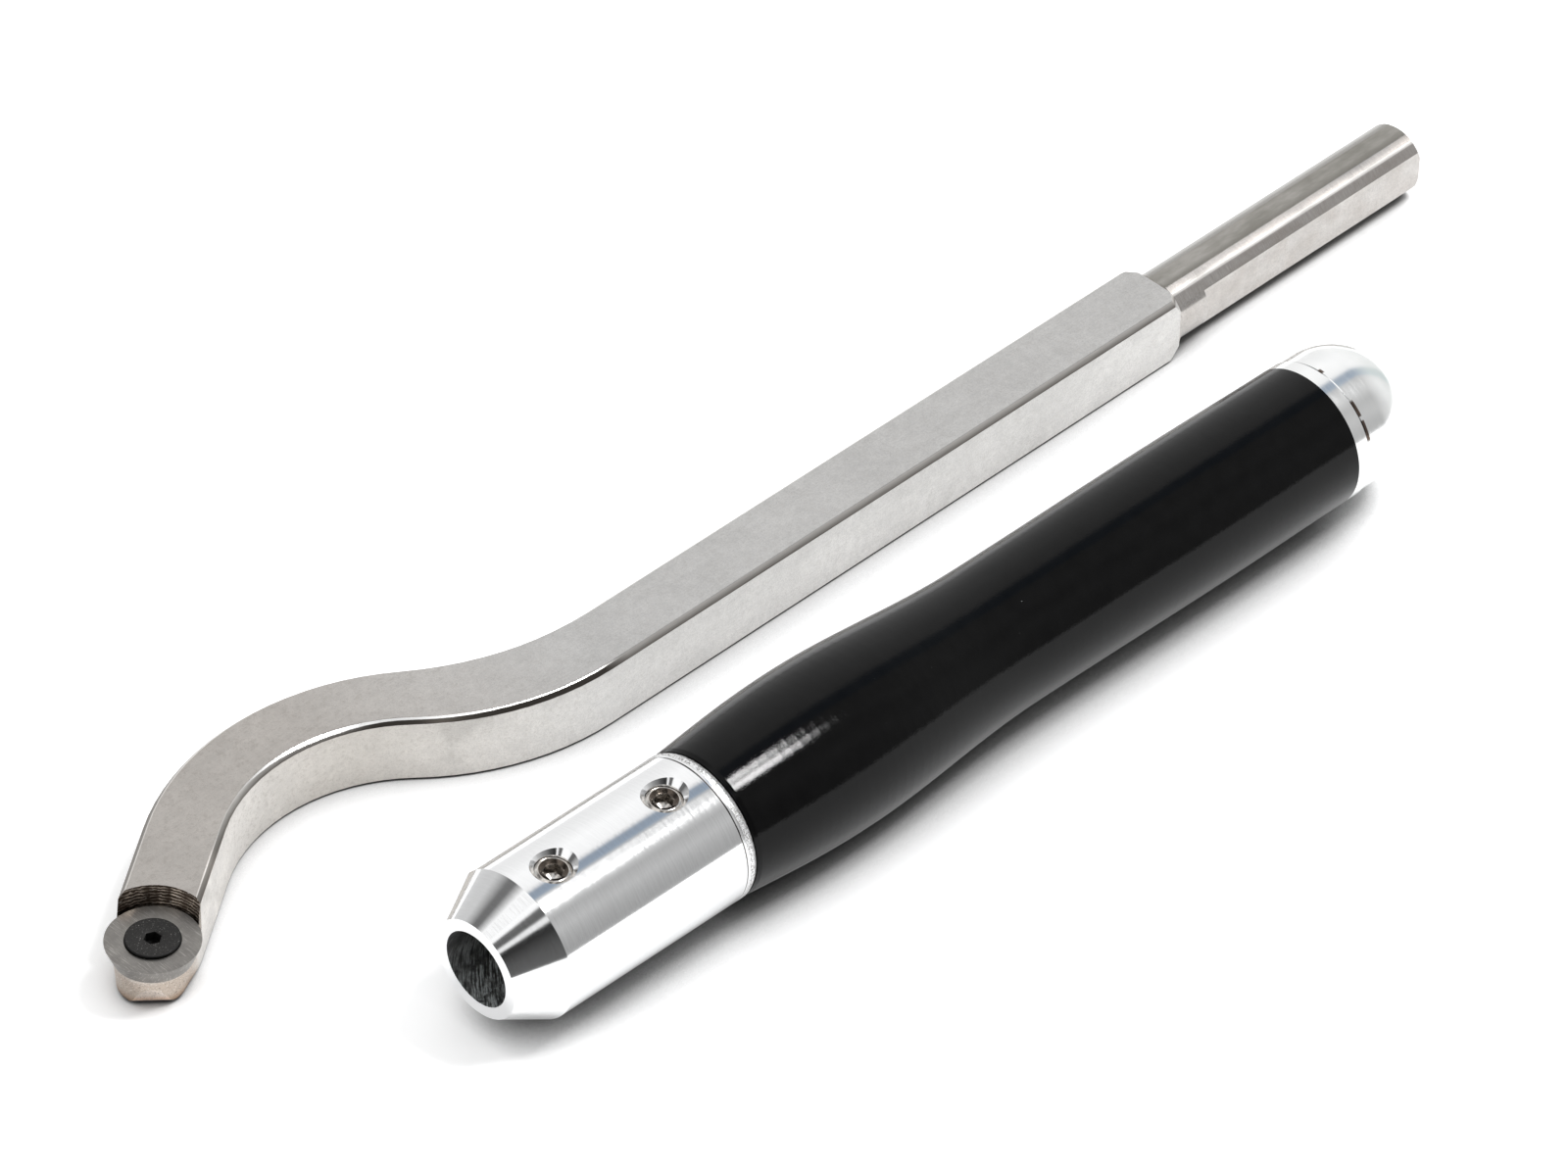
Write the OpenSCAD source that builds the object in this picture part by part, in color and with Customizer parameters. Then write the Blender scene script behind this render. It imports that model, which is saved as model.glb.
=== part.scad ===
// Swan neck hollowing tool, laid out as it lies on a bench:
// the turned handle in front, the square swan neck bar beside it on the far side.
// Millimetres. The handle's axis runs along X from the nose to the domed cap, Z is up,
// and the bench is at z = 0.

/* [Bar] */
// Side of the square bar
bar_w = 12.7; // [11:0.1:14]
// Chamfer along the bar's top edges
top_chamfer = 0.9; // [0.3:0.05:1.2]
// Chamfer along the bar's bottom edges
bottom_chamfer = 0.5; // [0.2:0.05:1]
// Length from the shoulder to the centre of the cutter
reach = 226.4; // [200:0.1:260]
// Distance of the bar's end from the axis of its straight part, to the far side
neck_drift = -0.1; // [-1:0.1:1]
// Angle at which the neck comes back to the axis
neck_back = 34.8; // [30:0.1:40]

/* [Neck bends] */
// Radius of the first bend along the near side
near_r1 = 47.1; // [40:0.1:60]
// Angle of the first bend along the near side
near_a1 = 42.3; // [36:0.1:46]
// Radius of the second bend along the near side
near_r2 = 30.4; // [26:0.1:40]
// Radius of the first bend along the far side
far_r1 = 52.3; // [40:0.1:60]
// Angle of the first bend along the far side
far_a1 = 36.8; // [34:0.1:46]
// Radius of the second bend along the far side
far_r2 = 45.7; // [38:0.1:52]

/* [Tang] */
// Diameter of the round tang
tang_d = 12.5; // [11.8:0.1:12.6]
// Length of the tang behind the shoulder
tang_len = 62.4; // [50:0.1:63]
// Distance from the tang's axis to its top flat
top_flat = 5.95; // [5.6:0.05:6.2]
// Distance from the tang's axis to its side flat
side_flat = 5.1; // [4.8:0.05:5.6]
// Length of round tang between the shoulder and the side flat
side_flat_start = 7.1; // [4:0.1:12]
// Radius to which the shoulder's corners are turned down
shoulder_r = 7.3; // [7:0.05:8.5]

/* [Cutter] */
// Diameter of the round carbide cutter
cutter_d = 15.2; // [14:0.1:16]
// Thickness of the cutter
cutter_t = 3; // [2.5:0.1:3.4]
// Diameter of the cutter's underside
cutter_base_d = 13; // [11:0.1:14]
// Height of the cutter's seat above the bench
seat_z = 6.6; // [6:0.05:7]
// Distance of the cutter's centre from the middle of the bar, to the near side
cutter_side = 0.4; // [0:0.1:0.6]
// Radius of the milled pocket round the cutter, at the top of the bar
pocket_r = 9; // [8.8:0.05:9.4]
// Slope of the pocket's wall
pocket_slope = 15; // [0:1:16]
// Diameter of the cutter screw's head
head_d = 8.8; // [8:0.1:9.2]
// Height of the head above the cutter
head_rise = 0.5; // [0.2:0.1:0.8]
// Diameter of the cutter screw's thread
cutter_screw_d = 4; // [3.8:0.1:4.2]

/* [Handle] */
// Diameter of the ferrule's cylinder
ferrule_d = 26; // [24:0.1:27]
// Diameter of the flat face at the ferrule's nose
nose_d = 17.4; // [16:0.1:20]
// Length of the ferrule's cone
cone_len = 8.05; // [6:0.05:12]
// Diameter of the socket for the tang
socket_d = 13.2; // [13:0.1:13.6]
// Depth of the socket
socket_len = 64; // [60:1:70]
// Length of the ferrule outside the grip, up to the spacer ring
ferrule_len = 45.05; // [40:0.05:50]
// Width of the spacer ring between ferrule and grip
spacer_w = 2.05; // [1:0.05:3]
// Length of the black grip
grip_len = 137.5; // [120:0.5:160]
// Diameter of the grip at its swell
swell_d = 29.1; // [27:0.1:31]
// Diameter of the grip at its waist
waist_d = 25; // [24:0.1:26]
// Diameter of the grip at its belly behind the waist
belly_d = 25.5; // [24:0.1:26]
// Diameter of the grip and of the rear ferrule at the back
rear_d = 25.2; // [24:0.1:26]
// Width of the rear ferrule's visible ring
rear_ring_w = 2.9; // [2:0.1:5]
// Length of the domed cap behind the rear ferrule
cap_len = 16.5; // [14:0.5:24]

/* [Set screws] */
// Diameter of the set screws
set_d = 6; // [5:0.1:6.2]
// Length of the set screws
set_len = 5; // [4:0.1:5.3]
// Distance of the front set screw from the nose
front_set_x = 15.1; // [13:0.1:18]
// Distance between the two set screws
set_pitch = 23.25; // [20:0.05:26]
// Depth of a screw's top below the ferrule's surface
set_depth = 1.1; // [0.5:0.1:1.4]
// Turn of the handle about its own axis as it lies on the bench
lean = 5.4; // [0:0.1:12]

/* [Layout] */
// Distance of the bar's shoulder from the handle's nose, along the handle
shoulder_x = 198; // [190:0.1:206]
// Distance of the bar's shoulder from the handle's axis, across the bench
shoulder_y = 46.5; // [40:0.1:60]
// Angle between the bar and the handle on the bench
bar_turn = 0.85; // [0:0.05:1.5]

/* [Hidden] */
$fn = 72;
eps = 0.01;                   // small overlap of cutting shapes

axis_z = swell_d/2;
tang_r = tang_d/2;
socket_r = socket_d/2;
ferrule_r = ferrule_d/2;
rear_r = rear_d/2;
grip_x = ferrule_len + spacer_w;
grip_end = grip_x + grip_len;
cap_x = grip_end + rear_ring_w;
cap_end = cap_x + cap_len;

flank_depth = 18;             // depth of each side's sweep, more than the bar is wide
over = 1;                     // how far cutting shapes run on past the metal
lap = 0.6;                    // overlap of the last bend and the last straight
hair = 0.001;                 // smallest step that keeps two faces apart
slack = 0.03;                 // how far a ground side lies inside the cone that it runs into
nose_r = 5.5;                 // radius of the nose under the cutter, carried down to the bench
nose_flare = 4;               // flare of the nose up to the cutter
side_turn = 80;               // turn of the nose's ground sides from its front
front_r = 4.3;                // distance of the ground front from the bar's end, carried down
front_turn = 13;              // turn of the ground front to the near side
front_flare = 19;             // slope of the ground front
edge_cut = 0.7;               // how much the nose's lower edge is ground back, on the bench
edge_slope = 42;              // slope of that lower edge
seat_gap = 0.02;              // the cutter is free to turn on its seat
thread_gap = 0.05;            // running clearance of every modelled thread
tang_edge = 0.7;              // chamfer at the tang's end and cone at its root
shoulder_len = 4;             // length over which the shoulder's corners are turned down
shoulder_slope = 0.72;        // their radius grows by this much a millimetre
hole_len = 14;                // the hole for the cutter screw goes through the bar
hole_edge = 0.6;              // its countersink
cutter_bore_r = 2.5;          // hole in the cutter, below its countersink
fine_edge = 0.12;             // small broken edges
head_gap = 0.1;               // gap round the screw's head in the cutter's countersink
cutter_screw_len = 5.5;       // length of the screw below the seat
screw_point = 0.4;            // chamfer at its end
cutter_hex = 2.5;             // hexagon of the cutter screw, across flats
cutter_hex_depth = 1.8;
set_hex = 3;                  // hexagon of the set screws
set_hex_depth = 2.4;
set_point = 0.6;              // chamfer of the set screws' cup point
set_cup_r = 1.2;
set_edge = 0.55;              // chamfer round their top
mouth_depth = 0.35;           // cone at the mouth of their hexagon
mouth_r = [1.73, 2.3];
sink_h = 3;                   // countersink over each set screw in the ferrule
sink_slope = 0.86;
ring_edge = 0.15;             // broken edges of ferrule and spacer ring
ring_slope = [0.35, 0.7];     // slope of the spacer ring down to the grip: in radius, along the axis
drill_point = 3.5;            // depth of the drill's cone at the end of the socket
spigot_r = 10;                // ferrule's spigot inside the grip
spigot_len = 25;
spigot_edge = 1;
glue_gap = 0.5;               // room for glue at the end of each spigot
bead = [0.2, 0.7, 0.25];      // front edge of the grip: step outside, step inside, length
grip_step = 2;                // distance between two points of the grip's outline
rear_spigot_r = 9;            // rear ferrule's spigot inside the grip
rear_spigot_len = 18.5;
rear_edge = [0.4, 0.3];       // edge of the rear ring towards the cap: in radius, along the axis
stud_r = 5;                   // cap's threaded stud
stud_len = 13;
stud_edge = 0.8;
cap_step = 0.2;               // the cap is this much smaller in radius than the rear ring
cap_edge = [0.5, 0.4];        // its edge towards the ring
dome_h = 12.4;                // height of its dome

// The bar's end in the bar's frame, whose origin is the shoulder on the bench
tip_x = -reach;
tip_y = neck_drift;

// The whole layout is centred on the middle of its bounding box
cutter_x = tip_x + cutter_side*sin(neck_back);
cutter_y = tip_y - cutter_side*cos(neck_back);
x_low = shoulder_x + cutter_x*cos(bar_turn) - cutter_y*sin(bar_turn) - cutter_d/2;
x_high = shoulder_x + tang_len*cos(bar_turn) + (tang_r - tang_edge)*sin(bar_turn);
crest = crest_centre(bar_w/2, far_r1, far_a1, far_r2);
y_high = shoulder_y + crest[0]*sin(bar_turn) + crest[1]*cos(bar_turn) + far_r2;
y_low = -swell_d/2;
mid = [(x_low + x_high)/2, (y_low + y_high)/2];

// Points of one side of the neck: [x, y] where the first bend starts, where it meets the second
// bend, and where the second bend ends on the last straight
function side_end(y0, r1, a1, r2) =
    let (y2 = y0 + r1*(1 - cos(a1)) + r2*(cos(neck_back) - cos(a1)),
         n = [-sin(neck_back), cos(neck_back)],
         p = [tip_x, tip_y] + y0*n)
    [p[0] - (y2 - p[1])*n[1]/n[0], y2];
function side_knee(y0, r1, a1, r2) =
    side_end(y0, r1, a1, r2) + r2*[sin(a1) + sin(neck_back), cos(a1) - cos(neck_back)];
function side_start(y0, r1, a1, r2) =
    side_knee(y0, r1, a1, r2) + r1*[sin(a1), cos(a1) - 1];
function crest_centre(y0, r1, a1, r2) =
    side_knee(y0, r1, a1, r2) - r2*[sin(a1), cos(a1)];

// Radius of the grip at distance x from its front edge
swell_at = 26;
waist_at = 65;
belly_at = 111;
function ease(t) = (1 - cos(180*t))/2;
function blend(a, b, t) = a + (b - a)*t;
function grip_r(x) =
    x < swell_at ? blend(ferrule_r - 0.1, swell_d/2, sin(90*x/swell_at)) :
    x < waist_at ? blend(swell_d/2, waist_d/2, ease((x - swell_at)/(waist_at - swell_at))) :
    x < belly_at ? blend(waist_d/2, belly_d/2, ease((x - waist_at)/(belly_at - waist_at))) :
                   blend(belly_d/2, rear_r, ease((x - belly_at)/(grip_len - belly_at)));

module centred() translate([-mid[0], -mid[1], 0]) children();

// Frames: the handle's axis, one of its set screws, the bar, its tip and its cutter
module handle_frame() centred() translate([0, 0, axis_z]) rotate([lean, 0, 0]) children();
module turned() handle_frame() rotate([0, 90, 0]) rotate_extrude() children();
module set_frame(x) handle_frame() translate([x, 0, ferrule_r - set_depth]) children();
module bar_frame() centred() translate([shoulder_x, shoulder_y, 0]) rotate(bar_turn) children();
module tip_frame() translate([tip_x, tip_y, 0]) rotate(180 + neck_back) children();
module cutter_frame() tip_frame() translate([0, cutter_side, seat_z]) children();

// One side of the bar's section at x = 0, with its two chamfers running on past the bar's height.
// It is deeper than the bar is wide: the bar is what two such sides have in common.
module flank(past) polygon([
    [0, bottom_chamfer], [bottom_chamfer + past, -past], [flank_depth + past, -past],
    [flank_depth + past, bar_w + past], [top_chamfer + past, bar_w + past], [0, bar_w - top_chamfer]]);
// The flank with the bar towards +x for s = 1 and towards -x for s = -1
module sided(s, past = over) if (s > 0) flank(past); else mirror([1, 0]) flank(past);

// A move in a coarse and a fine step, so that the pieces of the neck meet without a gap
module fine_move(p) {
    coarse = [for (v = p) round(100*v)/100];
    translate(coarse) translate(p - coarse) children();
}

// One side of the bar, swept from past the shoulder to past the nose: straight, bend, bend back,
// straight. s = 1 is the far side and s = -1 the near side. The last straight is set off by a
// hair to the near side, and runs into the bend there, or on the far side the bend into it.
module side_run(s, r1, a1, r2) {
    y0 = s*bar_w/2;
    p0 = side_start(y0, r1, a1, r2);
    p1 = side_knee(y0, r1, a1, r2);
    p2 = side_end(y0, r1, a1, r2);
    last = ([tip_x, tip_y] - p2)*[-cos(neck_back), -sin(neck_back)] + pocket_r;
    bend_lap = s > 0 ? lap : 0;
    fine_move([p0[0], y0]) rotate([90, 0, 90]) linear_extrude(over - p0[0]) sided(-s);
    fine_move([p0[0], y0 + r1])
        rotate_extrude(angle = a1, start = 270 - a1, $fn = 180) translate([r1, 0]) sided(s);
    fine_move(p1 - r2*[sin(a1), cos(a1)])
        rotate_extrude(angle = a1 + neck_back + bend_lap/r2*180/PI, start = 90 - a1, $fn = 180)
            translate([r2, 0]) sided(-s);
    translate([p2[0], p2[1], 0]) rotate([90, 0, 270 + neck_back]) translate([hair, 0, bend_lap - lap])
        linear_extrude(last + lap) sided(s, over + 0.1);
}

// The bent bar: both sides, cut level at the bench, at the top and square at the shoulder
module bent_bar() intersection() {
    side_run(1, far_r1, far_a1, far_r2);
    side_run(-1, near_r1, near_a1, near_r2);
    translate([-2*reach, -reach, 0]) cube([2*reach, 2*reach, bar_w]);
}

// What stays of the bar at its end: all of it behind the pocket, a flared nose with ground sides
module nose_shape() tip_frame() {
    translate([-2*reach, -reach, -over]) cube([2*reach - pocket_r, 2*reach, bar_w + 2*over]);
    intersection() {
        nose_blank(nose_r, nose_flare, slack);
        nose_blank(nose_r - edge_cut, edge_slope, 3*slack);
        ground(front_turn, front_r, front_flare);
        ground(front_turn, front_r - edge_cut, edge_slope);
    }
}
// The nose with one slope: round in front, with flat sides that run back out of the bar
module nose_blank(r, slope, inset) intersection() {
    union() {
        translate([-pocket_r - over, -bar_w, -over]) cube([pocket_r + 2*over, 2*bar_w, bar_w + 2*over]);
        translate([0, 0, -over])
            cylinder(h = bar_w + 2*over, r1 = r - over*tan(slope), r2 = r + (bar_w + over)*tan(slope));
    }
    ground(side_turn, r - inset, slope);
    ground(-side_turn, r - inset, slope);
}
// Everything behind a sloping plane ground across the nose at distance r
module ground(turn, r, slope) rotate(turn) translate([r, 0, 0]) rotate([0, slope, 0])
    translate([-4*bar_w, -3*bar_w, -bar_w]) cube([4*bar_w, 6*bar_w, 4*bar_w]);

// The turned tang behind the shoulder, with the small fillet at its root
module tang() translate([0, 0, bar_w/2]) rotate([0, 90, 0]) {
    translate([0, 0, -over]) cylinder(h = tang_len + over - tang_edge, r = tang_r);
    translate([0, 0, tang_len - tang_edge]) cylinder(h = tang_edge, r1 = tang_r, r2 = tang_r - tang_edge);
    intersection() {
        cylinder(h = tang_edge, r1 = tang_r + tang_edge, r2 = tang_r);
        cube([bar_w, bar_w, 4*tang_edge], center = true);
    }
}

// What the lathe takes off the square corners at the shoulder
module shoulder_waste() translate([0, 0, bar_w/2]) rotate([0, 90, 0]) difference() {
    translate([-bar_w, -bar_w, -shoulder_len]) cube([2*bar_w, 2*bar_w, shoulder_len]);
    translate([0, 0, -shoulder_len - eps]) cylinder(h = shoulder_len + 2*eps,
        r1 = shoulder_r + shoulder_len*shoulder_slope, r2 = shoulder_r);
}

module shank_bar() color([0.72, 0.71, 0.69]) bar_frame() difference() {
    union() {
        difference() {
            intersection() {
                bent_bar();
                nose_shape();
            }
            shoulder_waste();
        }
        tang();
    }
    // top flat and side flat of the tang
    translate([tang_edge, -bar_w, bar_w/2 + top_flat]) cube([tang_len, 2*bar_w, bar_w]);
    translate([side_flat_start, -side_flat - bar_w, -over]) cube([tang_len, bar_w, 2*bar_w]);
    // cutter pocket, and the tapped hole for the cutter screw
    cutter_frame() {
        h = bar_w - seat_z;
        translate([0, 0, -seat_gap]) cylinder(h = h + seat_gap + over,
            r1 = pocket_r - (h + seat_gap)*tan(pocket_slope), r2 = pocket_r + over*tan(pocket_slope));
        translate([0, 0, -hole_len]) cylinder(h = hole_len, d = cutter_screw_d);
        translate([0, 0, -hole_edge]) cylinder(h = hole_edge + eps,
            r1 = cutter_screw_d/2, r2 = cutter_screw_d/2 + hole_edge + eps);
    }
}

// Countersink of the cutter and cone of its screw: 90 degrees, with a small gap between them
module carbide_cutter() color([0.45, 0.45, 0.45]) bar_frame() cutter_frame() rotate_extrude() polygon([
    [cutter_bore_r, 0], [cutter_base_d/2, 0], [cutter_d/2, cutter_t - fine_edge], [cutter_d/2, cutter_t],
    [head_d/2 + head_gap, cutter_t], [cutter_bore_r, cutter_t - head_d/2 - head_gap + cutter_bore_r]]);

module hex_socket(across, depth) translate([0, 0, -depth])
    cylinder(h = depth + over, r = across/2/cos(30), $fn = 6);

module cutter_screw() color([0.12, 0.12, 0.12]) bar_frame() cutter_frame() difference() {
    r = cutter_screw_d/2 - thread_gap;
    top = cutter_t + head_rise;
    rotate_extrude() polygon([
        [0, -cutter_screw_len], [r - screw_point, -cutter_screw_len], [r, -cutter_screw_len + screw_point],
        [r, cutter_t - head_d/2 + r], [head_d/2, cutter_t],
        [head_d/2, top - fine_edge], [head_d/2 - fine_edge, top], [0, top]]);
    translate([0, 0, top]) rotate(30) hex_socket(cutter_hex, cutter_hex_depth);
}

module ferrule() color([0.87, 0.88, 0.89]) difference() {
    turned() polygon([
        [socket_r, 0], [nose_d/2, 0], [ferrule_r, cone_len], [ferrule_r, ferrule_len - ring_edge],
        [ferrule_r - ring_edge, ferrule_len], [spigot_r, ferrule_len],
        [spigot_r, grip_x + spigot_len - spigot_edge], [spigot_r - spigot_edge, grip_x + spigot_len],
        [0, grip_x + spigot_len], [0, socket_len + drill_point], [socket_r, socket_len]]);
    for (x = [front_set_x, front_set_x + set_pitch]) set_frame(x) {
        r = set_d/2 + thread_gap;
        translate([0, 0, -ferrule_r + set_depth + socket_r/2]) cylinder(h = ferrule_r, r = r);
        cylinder(h = sink_h, r1 = r, r2 = r + sink_h*sink_slope);
    }
}

module set_screw(x) color([0.62, 0.6, 0.56]) set_frame(x) difference() {
    r = set_d/2;
    rotate_extrude() polygon([
        [0, -set_len + set_point], [set_cup_r, -set_len], [r - set_point, -set_len],
        [r, -set_len + set_point], [r, -set_edge], [r - set_edge, 0], [0, 0]]);
    hex_socket(set_hex, set_hex_depth);
    translate([0, 0, -mouth_depth]) cylinder(h = mouth_depth + eps, r1 = mouth_r[0], r2 = mouth_r[1]);
}
module front_set_screw() set_screw(front_set_x);
module rear_set_screw() set_screw(front_set_x + set_pitch);

module spacer_ring() color([0.8, 0.81, 0.81]) turned() polygon([
    [spigot_r, ferrule_len], [ferrule_r - ring_edge, ferrule_len], [ferrule_r, ferrule_len + ring_edge],
    [ferrule_r, grip_x - ring_slope[1]], [ferrule_r - ring_slope[0], grip_x], [spigot_r, grip_x]]);

module grip() color([0.03, 0.03, 0.03]) turned() polygon(concat(
    [[0, grip_x + spigot_len + glue_gap], [spigot_r, grip_x + spigot_len + glue_gap], [spigot_r, grip_x],
     [ferrule_r - bead[1], grip_x], [ferrule_r - bead[0], grip_x + bead[2]]],
    [for (x = [grip_step/2:grip_step:grip_len - grip_step/2]) [grip_r(x), grip_x + x]],
    [[rear_r, grip_end], [rear_spigot_r, grip_end], [rear_spigot_r, grip_end - rear_spigot_len - glue_gap],
     [0, grip_end - rear_spigot_len - glue_gap]]));

module rear_ferrule() color([0.88, 0.89, 0.9]) turned() polygon([
    [0, grip_end - rear_spigot_len], [rear_spigot_r - spigot_edge, grip_end - rear_spigot_len],
    [rear_spigot_r, grip_end - rear_spigot_len + spigot_edge], [rear_spigot_r, grip_end], [rear_r, grip_end],
    [rear_r, cap_x - rear_edge[1]], [rear_r - rear_edge[0], cap_x], [stud_r + thread_gap, cap_x],
    [stud_r + thread_gap, cap_x - stud_len - over], [0, cap_x - stud_len - over]]);

module end_cap() color([0.9, 0.91, 0.92]) {
    r = rear_r - cap_step;
    turned() polygon(concat(
        [[0, cap_x - stud_len], [stud_r - stud_edge, cap_x - stud_len],
         [stud_r, cap_x - stud_len + stud_edge], [stud_r, cap_x],
         [r - cap_edge[0], cap_x], [r, cap_x + cap_edge[1]]],
        [for (a = [0:3:90]) [r*cos(a), cap_end - dome_h + dome_h*sin(a)]]));
}

shank_bar();
carbide_cutter();
cutter_screw();
ferrule();
front_set_screw();
rear_set_screw();
spacer_ring();
grip();
rear_ferrule();
end_cap();
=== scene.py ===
# Looks of a swan neck hollowing tool: the square steel bar with its round cutter, lying beside
# the turned handle. Metres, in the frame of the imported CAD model.
import math
import random

import bpy
import bmesh
from mathutils import Matrix, Vector


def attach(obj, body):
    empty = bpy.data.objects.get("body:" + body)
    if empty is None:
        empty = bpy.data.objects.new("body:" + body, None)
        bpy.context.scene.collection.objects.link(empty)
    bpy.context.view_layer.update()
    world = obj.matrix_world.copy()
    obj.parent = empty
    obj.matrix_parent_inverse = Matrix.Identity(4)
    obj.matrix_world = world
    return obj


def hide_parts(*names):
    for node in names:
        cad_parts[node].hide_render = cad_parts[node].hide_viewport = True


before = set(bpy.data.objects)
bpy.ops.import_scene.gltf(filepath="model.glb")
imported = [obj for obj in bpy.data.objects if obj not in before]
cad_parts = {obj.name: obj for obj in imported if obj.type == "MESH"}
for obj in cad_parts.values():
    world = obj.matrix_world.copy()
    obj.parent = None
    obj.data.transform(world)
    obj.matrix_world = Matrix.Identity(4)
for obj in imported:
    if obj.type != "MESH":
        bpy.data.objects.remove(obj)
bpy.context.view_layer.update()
scene = bpy.context.scene
random.seed(7)
MM = 0.001

# Places in the part frame, millimetres
AXIS_Y, AXIS_Z = -27.537, 14.55
NOSE_X = -112.367
LEAN = math.radians(5.4)
CUTTER = Vector((-140.5077, 15.1795, 6.6))
SHOULDER = Vector((85.633, 18.963, 6.35))
BAR_TURN = math.radians(0.85)
NECK_BACK = math.radians(34.8)
SCREWS = (Vector((-97.267, -28.657, 26.397)), Vector((-74.017, -28.657, 26.397)))


# Shader nodes as expressions
class Sock:
    def __init__(self, tree, out):
        self.tree, self.out = tree, out

    def __add__(self, other):
        return calc(self.tree, "ADD", self, other)

    def __radd__(self, other):
        return calc(self.tree, "ADD", other, self)

    def __sub__(self, other):
        return calc(self.tree, "SUBTRACT", self, other)

    def __rsub__(self, other):
        return calc(self.tree, "SUBTRACT", other, self)

    def __mul__(self, other):
        return calc(self.tree, "MULTIPLY", self, other)

    def __rmul__(self, other):
        return calc(self.tree, "MULTIPLY", other, self)

    def __truediv__(self, other):
        return calc(self.tree, "DIVIDE", self, other)


def put(tree, socket, value):
    if isinstance(value, Sock):
        tree.links.new(value.out, socket)
    elif socket.type == "RGBA":
        socket.default_value = (value,) * 3 + (1,) if isinstance(value, (int, float)) else (*value, 1)
    else:
        socket.default_value = value


def calc(tree, operation, *values, clamp=False):
    n = tree.nodes.new("ShaderNodeMath")
    n.operation = operation
    n.use_clamp = clamp
    for socket, value in zip(n.inputs, values):
        put(tree, socket, value)
    return Sock(tree, n.outputs[0])


def axes(tree, vector):
    n = tree.nodes.new("ShaderNodeSeparateXYZ")
    put(tree, n.inputs[0], vector)
    return [Sock(tree, o) for o in n.outputs]


def joined(tree, x, y, z):
    n = tree.nodes.new("ShaderNodeCombineXYZ")
    for socket, value in zip(n.inputs, (x, y, z)):
        put(tree, socket, value)
    return Sock(tree, n.outputs[0])


def place(tree, scale=(1000, 1000, 1000), shift=(0, 0, 0), turn=(0, 0, 0), kind="Object"):
    """Object coordinates in millimetres, scaled further by scale / 1000."""
    c = tree.nodes.new("ShaderNodeTexCoord")
    m = tree.nodes.new("ShaderNodeMapping")
    tree.links.new(c.outputs[kind], m.inputs["Vector"])
    m.inputs["Location"].default_value = shift
    m.inputs["Rotation"].default_value = turn
    m.inputs["Scale"].default_value = scale
    return Sock(tree, m.outputs[0])


def noise(tree, vector, scale=1.0, detail=2.0, rough=0.5, twist=0.0):
    n = tree.nodes.new("ShaderNodeTexNoise")
    put(tree, n.inputs["Vector"], vector)
    n.inputs["Scale"].default_value = scale
    n.inputs["Detail"].default_value = detail
    n.inputs["Roughness"].default_value = rough
    n.inputs["Distortion"].default_value = twist
    return Sock(tree, n.outputs["Fac"])


def ramp(tree, fac, stops, ease="LINEAR"):
    n = tree.nodes.new("ShaderNodeValToRGB")
    put(tree, n.inputs[0], fac)
    band = n.color_ramp
    band.interpolation = ease
    while len(band.elements) < len(stops):
        band.elements.new(0.5)
    for element, (at, colour) in zip(band.elements, stops):
        element.position = at
        element.color = (colour,) * 3 + (1,) if isinstance(colour, (int, float)) else (*colour, 1)
    return Sock(tree, n.outputs[0])


def span(tree, value, low, high, to_low=0.0, to_high=1.0):
    n = tree.nodes.new("ShaderNodeMapRange")
    n.clamp = True
    for socket, v in zip(n.inputs, (value, low, high, to_low, to_high)):
        put(tree, socket, v)
    return Sock(tree, n.outputs[0])


def mixed(tree, fac, a, b):
    n = tree.nodes.new("ShaderNodeMix")
    n.data_type = "RGBA"
    put(tree, n.inputs[0], fac)
    put(tree, n.inputs[6], a)
    put(tree, n.inputs[7], b)
    return Sock(tree, n.outputs[2])


def bump(tree, height, depth, strength=1.0, normal=None):
    """depth is the real height in metres of a step of 1."""
    n = tree.nodes.new("ShaderNodeBump")
    n.inputs["Strength"].default_value = strength
    n.inputs["Distance"].default_value = depth
    put(tree, n.inputs["Height"], height)
    if normal:
        put(tree, n.inputs["Normal"], normal)
    return Sock(tree, n.outputs[0])


def material(name, paint):
    """A Principled material; paint(tree) gives the values of its sockets."""
    m = bpy.data.materials.new(name)
    m.use_nodes = True
    tree = m.node_tree
    shader = tree.nodes["Principled BSDF"]
    for key, value in paint(tree).items():
        put(tree, shader.inputs[key], value)
    return m


def clad(name, m):
    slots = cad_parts[name].material_slots
    for slot in slots:
        slot.material = m


# Materials
def inside(t, value, low, high, soft=0.02):
    """1 where value lies between low and high, 0 outside."""
    return span(t, value, low, low + soft) * span(t, value, high - soft, high, 1, 0)


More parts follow.
